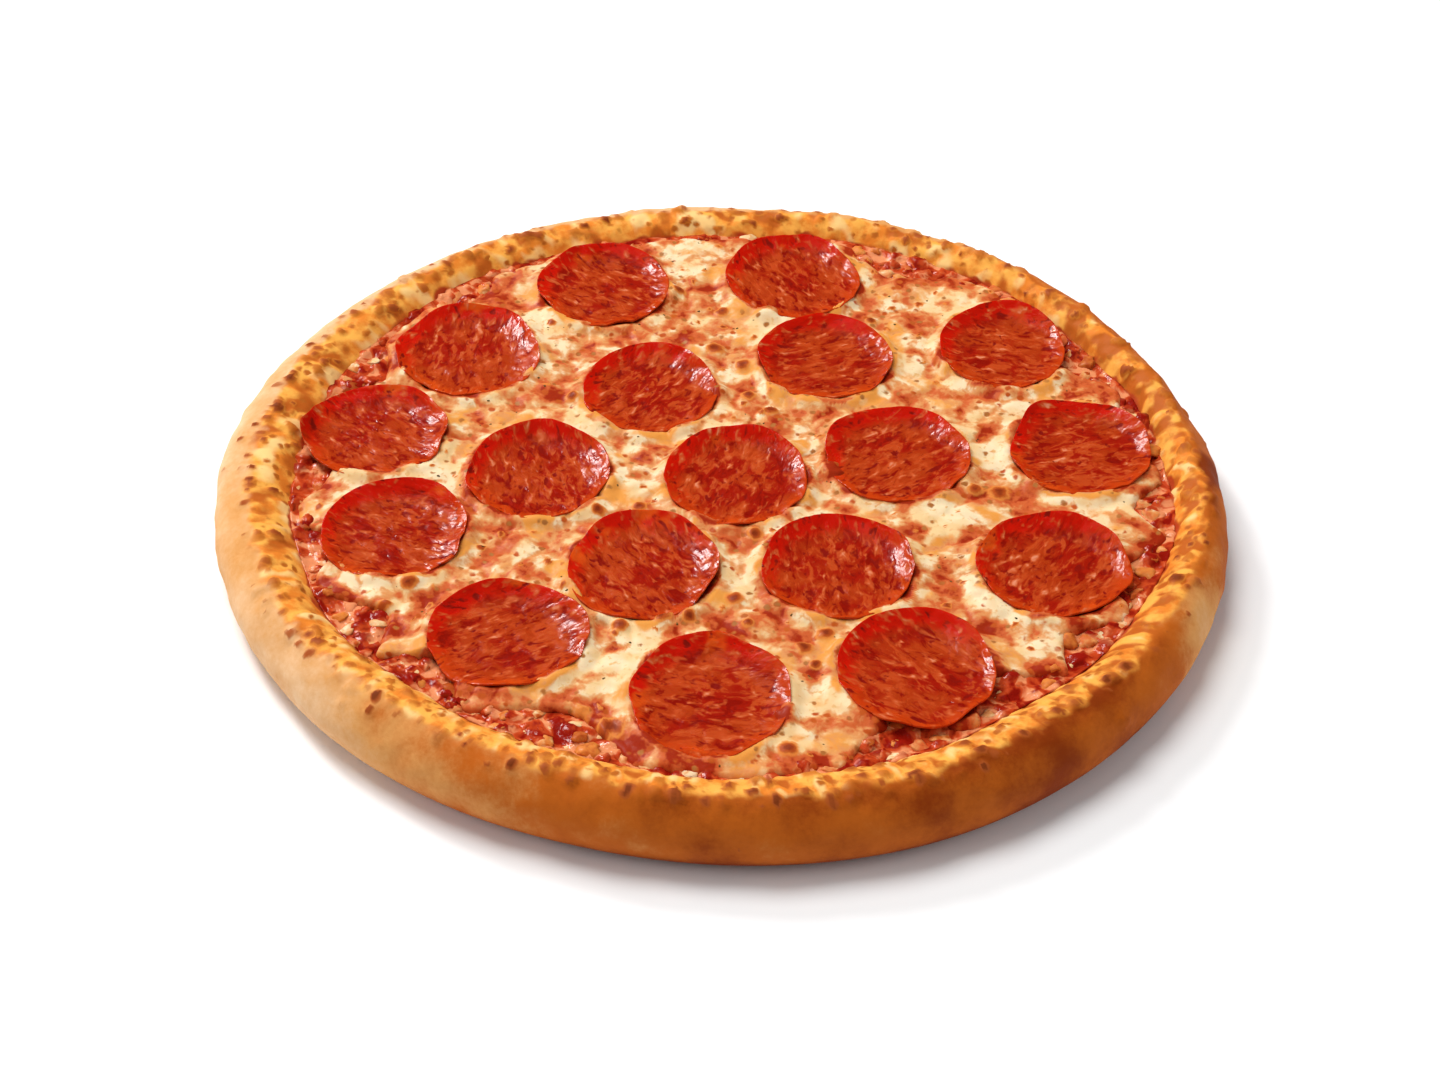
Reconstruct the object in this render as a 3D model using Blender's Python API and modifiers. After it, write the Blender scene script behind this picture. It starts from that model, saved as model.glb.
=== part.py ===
"""Whole pepperoni pizza: a 12 inch hand-stretched crust with its sauce, its melted cheese and 18 slices.

Metres, +Z up. The origin is the middle of the flat underside, and -Y is the near side.
"""

import math
import random

import bmesh
import bpy
from mathutils import Vector, noise

MM = 0.001

# Driving dimensions of the crust
OUTER_RADIUS = 152.7 * MM  # widest place of the rim, on average
FOOT_RADIUS = 132.2 * MM  # foot of the rim's inner slope, on average
RIM_WIDTH = 22.0 * MM  # from one to the other in the section below, which is stretched to fit between them
BASE_THICKNESS = 10.0 * MM  # dough under the sauce
CREST_HEIGHT = 22.2 * MM
FOOT_HEIGHT = 13.4 * MM
BACK_DROP = 3.4 * MM  # how much lower the crest is at the back than at the front
TURN_STEPS = 96  # facets round the crust, the sauce and the cheese

# How the two leave their circles, as waves of (times round, height, degrees to a crest from +X):
# the hand-stretched outline has slight corners, and the toppings reach further at the back and right
OUTLINE_WAVES = ((2, 1.3 * MM, -27.0), (3, 0.95 * MM, 63.0), (6, 0.5 * MM, -10.0))
FOOT_WAVES = ((1, 5.5 * MM, 60.0), (2, 1.0 * MM, 0.0), (5, 1.1 * MM, 205.0), (13, 0.6 * MM, -9.0))

# The crust's section as (distance in from the widest place, height), from the base's top to its underside
RIM_SECTION = (
    (31.0 * MM, BASE_THICKNESS),
    (26.6 * MM, 10.2 * MM),
    (23.9 * MM, 11.3 * MM),
    (RIM_WIDTH, FOOT_HEIGHT),
    (20.0 * MM, 16.2 * MM),
    (17.4 * MM, 19.2 * MM),
    (13.6 * MM, 21.5 * MM),
    (9.7 * MM, CREST_HEIGHT),
    (5.7 * MM, 20.5 * MM),
    (2.5 * MM, 17.2 * MM),
    (0.5 * MM, 13.2 * MM),
    (0.1 * MM, 8.8 * MM),
    (1.5 * MM, 4.4 * MM),
    (4.4 * MM, 1.4 * MM),
    (9.6 * MM, 0.0),
)
DOUGH_SWELL = 0.9 * MM  # unevenness of the risen rim

# Levels of the layers above the board
LAYER_GAP = 0.35 * MM  # air between two pieces that touch
SAUCE_UNDERSIDE = BASE_THICKNESS + 0.45 * MM
SAUCE_TOP = 11.95 * MM  # where cheese covers it
SAUCE_RING_TOP = 13.2 * MM  # where it shows between cheese and rim
SAUCE_LUMPS = 1.1 * MM
CHEESE_UNDERSIDE = 12.3 * MM
CHEESE_TOP = 15.0 * MM
CHEESE_FLOW = 0.6 * MM  # rise and fall of the melted surface
CHEESE_MARGIN = 3.4 * MM  # least sauce between the cheese and the rim's foot
CHEESE_SHARES = (0.18, 0.36, 0.52, 0.66, 0.78, 0.89)  # rings of the sheet, as shares of its radius

# Where the cheese stops short and bare sauce shows: (degrees from +X, half width in degrees, depth inwards)
SAUCE_BAYS = (
    (12.0, 9.0, 7.0 * MM),
    (30.0, 7.0, 8.0 * MM),
    (64.0, 9.0, 10.0 * MM),
    (131.0, 7.0, 5.0 * MM),
    (154.0, 8.0, 9.5 * MM),
    (178.0, 8.0, 7.0 * MM),
    (195.0, 7.0, 7.0 * MM),
    (212.0, 8.0, 11.0 * MM),
    (226.0, 8.0, 9.5 * MM),
    (247.0, 13.0, 12.0 * MM),
    (294.0, 9.0, 10.0 * MM),
    (312.0, 8.0, 11.0 * MM),
    (326.0, 7.0, 8.0 * MM),
    (342.0, 8.0, 9.0 * MM),
    (356.0, 6.0, 8.0 * MM),
)

# Pepperoni slices as (x, y, width along X, width along Y)
SLICES = (
    (-40.0 * MM, 101.0 * MM, 43.5 * MM, 43.5 * MM),
    (22.4 * MM, 107.0 * MM, 44.0 * MM, 44.0 * MM),
    (-82.3 * MM, 63.8 * MM, 45.5 * MM, 47.0 * MM),
    (-23.3 * MM, 44.1 * MM, 42.5 * MM, 43.5 * MM),
    (32.5 * MM, 62.0 * MM, 43.0 * MM, 42.5 * MM),
    (89.8 * MM, 69.0 * MM, 41.0 * MM, 43.5 * MM),
    (-108.0 * MM, 21.3 * MM, 44.5 * MM, 42.0 * MM),
    (-56.1 * MM, 2.4 * MM, 44.0 * MM, 44.5 * MM),
    (4.4 * MM, 1.1 * MM, 43.6 * MM, 45.0 * MM),
    (53.7 * MM, 12.4 * MM, 45.5 * MM, 45.0 * MM),
    (110.5 * MM, 17.0 * MM, 44.0 * MM, 45.0 * MM),
    (-97.3 * MM, -26.5 * MM, 43.5 * MM, 43.5 * MM),
    (-23.0 * MM, -42.2 * MM, 45.0 * MM, 46.0 * MM),
    (34.3 * MM, -41.1 * MM, 46.5 * MM, 44.0 * MM),
    (97.5 * MM, -40.0 * MM, 45.5 * MM, 45.0 * MM),
    (-61.0 * MM, -72.3 * MM, 46.0 * MM, 43.5 * MM),
    (-3.3 * MM, -97.5 * MM, 45.5 * MM, 48.5 * MM),
    (55.5 * MM, -85.9 * MM, 46.5 * MM, 46.5 * MM),
)
SLICE_STEPS = 24
SLICE_UNDERSIDE = 14.0 * MM  # sunk into the melted cheese
SLICE_THICKNESS = 1.9 * MM
SLICE_CURL = 1.6 * MM  # how far the edge lifts above the middle
BACK_CURL = 1.2 * MM  # how much more it lifts at the back, and less at the front
SLICE_CLEARANCE = 0.7 * MM  # under a slice that rides up the rim
POCKET_CLEARANCE = 0.45 * MM  # all round a slice
POCKET_DEPTH = 8.0 * MM

# Blisters baked on the rim's crest
BLISTER_COUNT = 46
BLISTER_RADII = (2.4 * MM, 4.3 * MM)
BLISTER_RISE = 1.4 * MM
BLISTER_LENGTH = 1.25  # along the rim, as a share of its width
BLISTER_BAND = (0.30, 0.66)  # shares of the rim's width, in from the widest place
SEED = 12

DOUGH = ("dough", (0.66, 0.36, 0.13), 0.75)
SAUCE = ("sauce", (0.38, 0.035, 0.018), 0.35)
CHEESE = ("cheese", (0.85, 0.63, 0.33), 0.42)
PEPPERONI = ("pepperoni", (0.50, 0.06, 0.02), 0.38)


def smooth_step(t):
    """0 below 0, 1 above 1, and an S curve between them."""
    t = min(max(t, 0.0), 1.0)
    return t * t * (3.0 - 2.0 * t)


def noise_at(angle, radius, grain, layer=0.0):
    """Smooth noise between -1 and 1 at a place on the pizza, with lumps about as wide as the grain."""
    return noise.noise(Vector((radius * math.cos(angle) / grain, radius * math.sin(angle) / grain, layer)))


def waving(angle, waves):
    """How far an outline is off its circle at an angle."""
    return sum(height * math.cos(times * (angle - math.radians(crest))) for times, height, crest in waves)


def outer_radius(angle):
    """The rim's widest place."""
    return OUTER_RADIUS + waving(angle, OUTLINE_WAVES)


def foot_radius(angle):
    """The foot of the rim's inner slope, where the toppings stop."""
    return FOOT_RADIUS + waving(angle, FOOT_WAVES)


def lowered(angle, height):
    """A height in the rim's section, brought down towards the back in step with its rise above the foot."""
    rise = max(height - FOOT_HEIGHT, 0.0) / (CREST_HEIGHT - FOOT_HEIGHT)
    return height - BACK_DROP * rise * (0.5 + 0.5 * math.sin(angle))


def cheese_radius(angle):
    """The cheese's outer edge: it keeps near the rim and is bitten by the bays of bare sauce."""
    radius = foot_radius(angle) - CHEESE_MARGIN
    for bay_degrees, half_width, depth in SAUCE_BAYS:
        away = math.remainder(angle - math.radians(bay_degrees), math.tau)
        radius -= depth * smooth_step(1.0 - abs(away) / math.radians(half_width))
    return radius


def rim_radius(angle, inwards):
    """The radius of a place on the rim, whose section is stretched between the outline and the foot."""
    if inwards > RIM_WIDTH:
        return foot_radius(angle) - inwards + RIM_WIDTH
    return outer_radius(angle) - inwards * (outer_radius(angle) - foot_radius(angle)) / RIM_WIDTH


def rim_height(angle, radius):
    """The crust's top surface at a place on the rim or its inner slope, before it swells."""
    for (further, low), (nearer, high) in zip(RIM_SECTION, RIM_SECTION[1:]):
        inner, outer = rim_radius(angle, further), rim_radius(angle, nearer)
        if inner <= radius <= outer:
            return lowered(angle, low + (high - low) * (radius - inner) / (outer - inner))
    return BASE_THICKNESS


def dress(name, mesh, look):
    """Links the mesh as a shaded object with its material."""
    material_name, colour, roughness = look
    material = bpy.data.materials.get(material_name) or bpy.data.materials.new(material_name)
    material.use_nodes = True
    shader = material.node_tree.nodes["Principled BSDF"]
    shader.inputs["Base Color"].default_value = (*colour, 1.0)
    shader.inputs["Roughness"].default_value = roughness
    shader.inputs["Metallic"].default_value = 0.0
    mesh.materials.clear()
    mesh.materials.append(material)
    mesh.shade_smooth()
    mesh.set_sharp_from_angle(angle=math.radians(50))
    obj = bpy.data.objects.new(name, mesh)
    PIZZA.objects.link(obj)
    return obj


def evaluated_mesh(obj):
    """The object's mesh with its modifiers, after which the object is gone."""
    graph = bpy.context.evaluated_depsgraph_get()
    mesh = bpy.data.meshes.new_from_object(obj.evaluated_get(graph))
    bpy.data.objects.remove(obj)
    return mesh


def turned(profile, steps):
    """The mesh of a profile of (radius, height) turned about Z. It runs from the top centre to the bottom centre."""
    mesh = bpy.data.meshes.new("profile")
    edges = [(i, i + 1) for i in range(len(profile) - 1)]
    mesh.from_pydata([(radius, 0.0, height) for radius, height in profile], edges, [])
    obj = bpy.data.objects.new("profile", mesh)
    bpy.context.scene.collection.objects.link(obj)
    screw = obj.modifiers.new("turn", "SCREW")
    screw.steps = steps
    screw.render_steps = steps
    screw.use_merge_vertices = True
    screw.merge_threshold = 0.01 * MM
    return evaluated_mesh(obj)


def ringed(rings, top, bottom):
    """A turned mesh whose rings needn't be round: each one is a function from the angle to (radius, height)."""
    pitch = OUTER_RADIUS / len(rings)
    profile = [(0.0, top), *[((i + 1) * pitch, top) for i in range(len(rings))], (0.0, bottom)]
    mesh = turned(profile, TURN_STEPS)
    for vertex in mesh.vertices:
        number = round(math.hypot(vertex.co.x, vertex.co.y) / pitch)
        if number == 0:
            continue
        angle = math.atan2(vertex.co.y, vertex.co.x)
        radius, height = rings[number - 1](angle)
        vertex.co = (radius * math.cos(angle), radius * math.sin(angle), height)
    return mesh


def crust_ring(inwards, height):
    """One ring of the crust, swollen where the dough has risen."""
    risen = smooth_step((height - 2.0 * MM) / (10.0 * MM))
    on_rim = smooth_step((RIM_WIDTH - 4.0 * MM - inwards) / (8.0 * MM))

    def place(angle):
        radius = rim_radius(angle, inwards)
        lump = noise_at(angle, radius, 26.0 * MM, height / RIM_WIDTH)
        lump += 0.6 * noise_at(angle, radius, 11.0 * MM, 2 * height / RIM_WIDTH)
        swell = DOUGH_SWELL * lump * risen * on_rim
        return radius + swell, lowered(angle, height) + swell

    return place


def blister(angle, inwards_share, size, squash):
    """One baked bubble, half sunk in the rim."""
    mesh = bpy.data.meshes.new("blister")
    ball = bmesh.new()
    bmesh.ops.create_icosphere(ball, subdivisions=1, radius=size)
    ball.to_mesh(mesh)
    ball.free()
    obj = bpy.data.objects.new("blister", mesh)
    radius = rim_radius(angle, inwards_share * RIM_WIDTH)
    height = rim_height(angle, radius) + BLISTER_RISE - size * squash
    obj.location = (radius * math.cos(angle), radius * math.sin(angle), height)
    obj.rotation_euler = (0.0, 0.0, angle)
    obj.scale = (1.0, BLISTER_LENGTH, squash)
    return obj


def make_crust():
    rings = [crust_ring(inwards, height) for inwards, height in RIM_SECTION]
    plain = dress("plain_crust", ringed(rings, BASE_THICKNESS, 0.0), DOUGH)
    rng = random.Random(SEED)
    blisters = bpy.data.collections.new("blisters")
    bpy.context.scene.collection.children.link(blisters)
    for i in range(BLISTER_COUNT):
        angle = math.tau * (i + rng.uniform(-0.35, 0.35)) / BLISTER_COUNT
        inwards_share = rng.uniform(*BLISTER_BAND)
        size = rng.uniform(*BLISTER_RADII)
        blisters.objects.link(blister(angle, inwards_share, size, rng.uniform(0.55, 0.8)))
    join = plain.modifiers.new("blisters", "BOOLEAN")
    join.operation = "UNION"
    join.operand_type = "COLLECTION"
    join.collection = blisters
    joined = evaluated_mesh(plain)
    for obj in list(blisters.objects):
        bpy.data.objects.remove(obj)
    bpy.data.collections.remove(blisters)
    dress("crust", joined, DOUGH)


def make_sauce():
    """A thin disc that thickens to a lumpy ring where the cheese leaves it bare."""

    def beside(edge_radius, distance, height, lumps=0.0):
        def place(angle):
            radius = edge_radius(angle) + distance
            return radius, height + lumps * noise_at(angle, radius, 7.0 * MM)

        return place

    def middle_of_ring(angle):
        radius = (cheese_radius(angle) + foot_radius(angle)) / 2
        return radius, SAUCE_RING_TOP + SAUCE_LUMPS * noise_at(angle, radius, 7.0 * MM)

    rings = (
        beside(cheese_radius, -9.0 * MM, SAUCE_TOP),
        beside(cheese_radius, -0.8 * MM, SAUCE_TOP),
        beside(cheese_radius, 0.9 * MM, 12.4 * MM, 0.2 * SAUCE_LUMPS),
        middle_of_ring,
        beside(foot_radius, -2.4 * MM, SAUCE_RING_TOP + 0.3 * MM, 0.5 * SAUCE_LUMPS),
        beside(foot_radius, -0.45 * MM, 13.75 * MM),
        beside(foot_radius, -1.75 * MM, 12.15 * MM),
        beside(foot_radius, -4.2 * MM, 10.8 * MM),
        beside(foot_radius, -6.6 * MM, SAUCE_UNDERSIDE),
    )
    dress("sauce", ringed(rings, SAUCE_TOP, SAUCE_UNDERSIDE), SAUCE)


def make_cheese():
    """A melted sheet with a rounded, bitten edge, and a shallow pocket under each slice."""

    def flow(angle, radius):
        wide = noise_at(angle, radius, 19.0 * MM)
        return CHEESE_FLOW * (wide + 0.5 * noise_at(angle, radius, 8.0 * MM))

    def sheet_ring(share):
        def place(angle):
            radius = share * (cheese_radius(angle) - 3.0 * MM)
            return radius, CHEESE_TOP + flow(angle, radius)

        return place

    def edge_ring(inwards, height, moving):
        def place(angle):
            radius = cheese_radius(angle) - inwards
            return radius, height + moving * flow(angle, radius)

        return place

    rings = [sheet_ring(share) for share in (*CHEESE_SHARES, 1.0)]
    rings += [
        edge_ring(1.0 * MM, CHEESE_TOP - 0.6 * MM, 0.8),
        edge_ring(0.0, CHEESE_TOP - 1.7 * MM, 0.3),
        edge_ring(0.5 * MM, CHEESE_UNDERSIDE, 0.0),
    ]
    cheese = dress("cheese", ringed(rings, CHEESE_TOP, CHEESE_UNDERSIDE), CHEESE)
    pockets = bpy.data.collections.new("pockets")
    bpy.context.scene.collection.children.link(pockets)
    for x, y, width, length in SLICES:
        bpy.ops.mesh.primitive_cylinder_add(vertices=SLICE_STEPS, radius=0.5, depth=POCKET_DEPTH)
        cutter = bpy.context.object
        cutter.name = "pocket"
        cutter.location = (x, y, SLICE_UNDERSIDE - LAYER_GAP + POCKET_DEPTH / 2)
        cutter.scale = (width + 2 * POCKET_CLEARANCE, length + 2 * POCKET_CLEARANCE, 1.0)
        cutter.hide_render = True
        cutter.display_type = "WIRE"
        for owner in list(cutter.users_collection):
            owner.objects.unlink(cutter)
        pockets.objects.link(cutter)
    cut = cheese.modifiers.new("pockets", "BOOLEAN")
    cut.operation = "DIFFERENCE"
    cut.operand_type = "COLLECTION"
    cut.collection = pockets


def make_slice(number, x, y, width, length):
    """One cured sausage slice: a thin disc with a curled, wavy edge that rides up the rim where it meets it."""
    profile = (
        (0.0, SLICE_THICKNESS),
        (0.55, SLICE_THICKNESS + 0.1 * SLICE_CURL),
        (0.93, SLICE_THICKNESS + SLICE_CURL),
        (1.0, 0.65 * SLICE_THICKNESS + 0.8 * SLICE_CURL),
        (0.80, 0.15 * SLICE_CURL),
        (0.0, 0.0),
    )
    mesh = turned(profile, SLICE_STEPS)
    for vertex in mesh.vertices:
        across, along, height = vertex.co
        share = math.hypot(across, along)
        wave = abs(noise.noise(Vector((2.2 * across, 2.2 * along, 7.3 * number))))
        narrowing = 1.0 - 0.045 * wave * share
        place_x = x + 0.5 * width * across * narrowing
        place_y = y + 0.5 * length * along * narrowing
        rim = rim_height(math.atan2(place_y, place_x), math.hypot(place_x, place_y))
        bed = max(SLICE_UNDERSIDE, rim + SLICE_CLEARANCE)
        lift = SLICE_CURL * wave * share**2 + BACK_CURL * along * share**2
        vertex.co = (place_x, place_y, bed + height + lift)
    dress(f"pepperoni_{number:02d}", mesh, PEPPERONI)


for old in list(bpy.data.objects):
    bpy.data.objects.remove(old)
PIZZA = bpy.data.collections.new("pepperoni_pizza")
bpy.context.scene.collection.children.link(PIZZA)
make_crust()
make_sauce()
make_cheese()
for slice_number, measures in enumerate(SLICES, start=1):
    make_slice(slice_number, *measures)
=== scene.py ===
import math

import bpy
import numpy as np
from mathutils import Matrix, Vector, noise


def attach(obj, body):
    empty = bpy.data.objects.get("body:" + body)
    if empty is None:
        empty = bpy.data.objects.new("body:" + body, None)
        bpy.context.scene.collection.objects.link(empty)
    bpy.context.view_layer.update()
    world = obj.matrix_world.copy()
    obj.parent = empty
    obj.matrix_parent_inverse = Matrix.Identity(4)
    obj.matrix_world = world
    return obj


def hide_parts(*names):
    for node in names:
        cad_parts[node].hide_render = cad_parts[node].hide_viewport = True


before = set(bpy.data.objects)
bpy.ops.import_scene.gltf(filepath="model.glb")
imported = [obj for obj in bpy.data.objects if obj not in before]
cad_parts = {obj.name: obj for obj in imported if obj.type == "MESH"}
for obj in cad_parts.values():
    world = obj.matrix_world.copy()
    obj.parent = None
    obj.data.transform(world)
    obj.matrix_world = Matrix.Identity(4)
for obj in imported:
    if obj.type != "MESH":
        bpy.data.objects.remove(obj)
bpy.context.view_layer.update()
mm = 0.001
smooth = {"interpolation_type": "SMOOTHSTEP"}  # for a map range that eases from 0 to 1
piecesMade = []
print("frame loaded:", len(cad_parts), "solids")


# small helpers

def hexToLinear(code):
    # an sRGB hex colour as linear RGBA
    channels = [int(code[i:i + 2], 16) / 255 for i in (1, 3, 5)]
    return (*[c / 12.92 if c <= 0.04045 else ((c + 0.055) / 1.055) ** 2.4 for c in channels], 1.0)


def addNode(tree, kind, settings=None, inputs=None):
    # adds a node and gives its outputs; settings may be just its operation, an input is a socket or a value
    node = tree.nodes.new(kind)
    settings = {"operation": settings} if isinstance(settings, str) else settings or {}
    for name, value in settings.items():
        setattr(node, name, value)
    for key, value in (inputs or {}).items():
        if isinstance(value, bpy.types.NodeSocket):
            tree.links.new(value, node.inputs[key])
        else:
            node.inputs[key].default_value = value
    return node.outputs


def newMaterial(name, ior, roughness, specular=0.5):
    material = bpy.data.materials.new(name)
    material.use_nodes = True
    shader = material.node_tree.nodes["Principled BSDF"]
    shader.inputs["IOR"].default_value = ior
    shader.inputs["Roughness"].default_value = roughness
    shader.inputs["Specular IOR Level"].default_value = specular
    return material, material.node_tree, shader


def layColour(tree, below, above, share, low=None, high=None):
    # the colour above laid over the one below by the share, eased from low to high if they are given
    if low is not None:
        share = addNode(tree, "ShaderNodeMapRange", smooth, {0: share, 1: low, 2: high})[0]
    below, above = [hexToLinear(colour) if isinstance(colour, str) else colour for colour in (below, above)]
    return addNode(tree, "ShaderNodeMix", {"data_type": "RGBA"}, {0: share, 6: below, 7: above})[2]


def ease(t):
    t = np.clip(t, 0.0, 1.0)
    return t * t * (3.0 - 2.0 * t)


def grainNoise(x, y, grain, layer=0.0):
    # smooth noise from -1 to 1 at places in mm, with lumps about as wide as the grain in mm
    places = zip(np.ravel(x) / grain, np.ravel(y) / grain, np.ravel(np.broadcast_to(layer, np.shape(x))))
    return np.array([noise.noise(Vector(place)) for place in places]).reshape(np.shape(x))


def clumpNoise(x, y, grain, layer=0.0):
    # distance to the nearest and the second nearest of scattered points, in grains
    places = zip(np.ravel(x) / grain, np.ravel(y) / grain)
    nearest = np.array([noise.voronoi(Vector((a, b, layer)))[0][:2] for a, b in places])
    return nearest[:, 0].reshape(np.shape(x)), nearest[:, 1].reshape(np.shape(x))


def smoothLine(points, spacing):
    # a Catmull-Rom curve through the points, resampled evenly
    points = np.array(points, float)
    ends = np.vstack([2 * points[0] - points[1], points, 2 * points[-1] - points[-2]])
    fine = []
    for a, b, c, d in zip(ends, ends[1:], ends[2:], ends[3:]):
        t = np.linspace(0.0, 1.0, 20, endpoint=False)[:, None]
        curve = 2 * b + (c - a) * t + (2 * a - 5 * b + 4 * c - d) * t**2
        fine.append(0.5 * (curve + (3 * b - a - 3 * c + d) * t**3))
    fine = np.vstack([*fine, points[-1:]])
    along = np.concatenate([[0.0], np.cumsum(np.hypot(*np.diff(fine, axis=0).T))])
    even = np.linspace(0.0, along[-1], round(along[-1] / spacing) + 1)
    return np.stack([np.interp(even, along, fine[:, i]) for i in (0, 1)], 1)


def ringMesh(name, x, y, z, topHeight, bottomHeight, fields):
    # a closed mesh from rings of points in mm: from the top centre out, over the edge and back in below
    rings, steps = x.shape
    points = np.concatenate([
        np.stack([x, y, z], 2).reshape(-1, 3), [[0.0, 0.0, topHeight], [0.0, 0.0, bottomHeight]],
    ]) * mm
    here = np.arange(rings * steps).reshape(rings, steps)
    after = np.roll(here, -1, axis=1)
    quads = np.stack([here[:-1], here[1:], after[1:], after[:-1]], 2).reshape(-1, 4)
    top, bottom = rings * steps, rings * steps + 1
    faces = quads.tolist()
    faces += [[top, a, b] for a, b in zip(here[0], after[0])]
    faces += [[a, bottom, b] for a, b in zip(here[-1], after[-1])]
    mesh = bpy.data.meshes.new(name)
    mesh.from_pydata(points.tolist(), [], faces)
    mesh.shade_smooth()
    for label, values in fields.items():
        attribute = mesh.attributes.new(label, "FLOAT", "POINT")
        flat = np.concatenate([np.broadcast_to(values, x.shape).ravel(), [0.0, 0.0]])
        attribute.data.foreach_set("value", flat.astype(np.float32))
    return mesh


def linkObject(name, mesh):
    obj = bpy.data.objects.new(name, mesh)
    bpy.context.scene.collection.objects.link(obj)
    return obj


def newTree(name, inputs):
    # an empty geometry tree with named inputs, given as name to socket type
    tree = bpy.data.node_groups.new(name, "GeometryNodeTree")
    tree.interface.new_socket("Geometry", in_out="OUTPUT", socket_type="NodeSocketGeometry")
    tree.interface.new_socket("Geometry", in_out="INPUT", socket_type="NodeSocketGeometry")
    for label, kind in inputs.items():
        tree.interface.new_socket(label, in_out="INPUT", socket_type="NodeSocket" + kind)
    return tree, tree.nodes.new("NodeGroupInput").outputs


def endTree(tree, geometry, material):
    realized = addNode(tree, "GeometryNodeRealizeInstances", None, {0: geometry})[0]
    dressed = addNode(tree, "GeometryNodeSetMaterial", None, {0: realized, 2: material})[0]
    tree.links.new(dressed, tree.nodes.new("NodeGroupOutput").inputs[0])


def applyTree(obj, tree, values):
    # runs the tree on the object with these inputs, and keeps the result as its plain mesh
    modifier = obj.modifiers.new(tree.name, "NODES")
    modifier.node_group = tree
    for item in tree.interface.items_tree:
        if item.item_type == "SOCKET" and item.in_out == "INPUT" and item.name in values:
            modifier[item.identifier] = values[item.name]
    graph = bpy.context.evaluated_depsgraph_get()
    evaluated = obj.evaluated_get(graph)
    made = bpy.data.meshes.new_from_object(evaluated, preserve_all_data_layers=True, depsgraph=graph)
    obj.modifiers.remove(modifier)
    obj.data = made
    return made


def raiseBubbles(obj, look, material):
    low, high = look["sizes"]
    applyTree(obj, risenBubbles, {
        "Spacing": look["spacing"] * mm, "Density": look["density"], "Smallest": low * mm,
        "Largest": high * mm, "Rise": look["rise"] * mm, "Seed": look["seed"], "Material": material,
    })


def keepPiece(obj, nodeNames):
    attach(obj, "root")
    if nodeNames:
        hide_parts(*nodeNames)
    piecesMade.append(obj.name)


def awayFrom(angle, degrees, halfWidth):
    # how far round an angle lies from a direction, as a share of the half width
    away = np.abs(np.remainder(angle - math.radians(degrees) + math.pi, math.tau) - math.pi)
    return away / math.radians(halfWidth)


# forms that all layers share, in mm: the crust's outline, the foot of its rim and the cheese's edge

pizzaForm = {
    "outerRadius": 152.7, "footRadius": 132.2, "rimWidth": 22.0, "footHeight": 13.4, "crestHeight": 22.2,
    "backDrop": 3.4, "baseThickness": 10.0, "cheeseMargin": 3.4,
    # how the outline and the foot leave their circles: times round, height, degrees to a crest from +X
    "outlineWaves": ((2, 1.3, -27.0), (3, 0.95, 63.0), (6, 0.5, -10.0)),
    "footWaves": ((1, 5.5, 60.0), (2, 1.0, 0.0), (5, 1.1, 205.0), (13, 0.6, -9.0)),
    "sauceBays": (  # degrees from +X, half width in degrees, depth inwards
        (12, 9, 7.0), (30, 7, 8.0), (64, 9, 10.0), (131, 7, 5.0), (154, 8, 9.5), (178, 8, 7.0),
        (195, 7, 7.0), (212, 8, 11.0), (226, 8, 9.5), (247, 13, 12.0), (294, 9, 10.0), (312, 8, 11.0),
        (326, 7, 8.0), (342, 8, 9.0), (356, 6, 8.0),
    ),
    "rimSection": (  # distance in from the widest place, height
        (31.0, 10.0), (26.6, 10.2), (23.9, 11.3), (22.0, 13.4), (20.0, 16.2), (17.4, 19.2), (13.6, 21.5),
        (9.7, 22.2), (5.7, 20.5), (2.5, 17.2), (0.5, 13.2), (0.1, 8.8), (1.5, 4.4), (4.4, 1.4),
        (9.6, 0.0),
    ),
}


def waving(angle, waves):
    return sum(height * np.cos(times * (angle - math.radians(crest))) for times, height, crest in waves)


def outerRadius(angle):
    return pizzaForm["outerRadius"] + waving(angle, pizzaForm["outlineWaves"])


def footRadius(angle):
    return pizzaForm["footRadius"] + waving(angle, pizzaForm["footWaves"])


def lowered(angle, height):
    # the rim's section is lower at the back, in step with its rise above the foot
    span = pizzaForm["crestHeight"] - pizzaForm["footHeight"]
    rise = np.maximum(height - pizzaForm["footHeight"], 0.0) / span
    return height - pizzaForm["backDrop"] * rise * (0.5 + 0.5 * np.sin(angle))


def cheeseRadius(angle):
    radius = footRadius(angle) - pizzaForm["cheeseMargin"]
    for degrees, halfWidth, depth in pizzaForm["sauceBays"]:
        radius = radius - depth * ease(1.0 - awayFrom(angle, degrees, halfWidth))
    return radius


def rimRadius(angle, inwards):
    width = outerRadius(angle) - footRadius(angle)
    onRim = outerRadius(angle) - inwards * width / pizzaForm["rimWidth"]
    onBase = footRadius(angle) - inwards + pizzaForm["rimWidth"]
    return np.where(inwards > pizzaForm["rimWidth"], onBase, onRim)


def rimHeight(angle, radius):
    # height of the rim's inner slope at a place in mm
    width = outerRadius(angle) - footRadius(angle)
    onRim = (outerRadius(angle) - radius) * pizzaForm["rimWidth"] / width
    onBase = footRadius(angle) - radius + pizzaForm["rimWidth"]
    inwards = np.where(radius < footRadius(angle), onBase, onRim)
    section = pizzaForm["rimSection"][7::-1]
    height = np.interp(inwards, [place for place, height in section], [height for place, height in section])
    return lowered(angle, height)


# geometry trees

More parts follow.
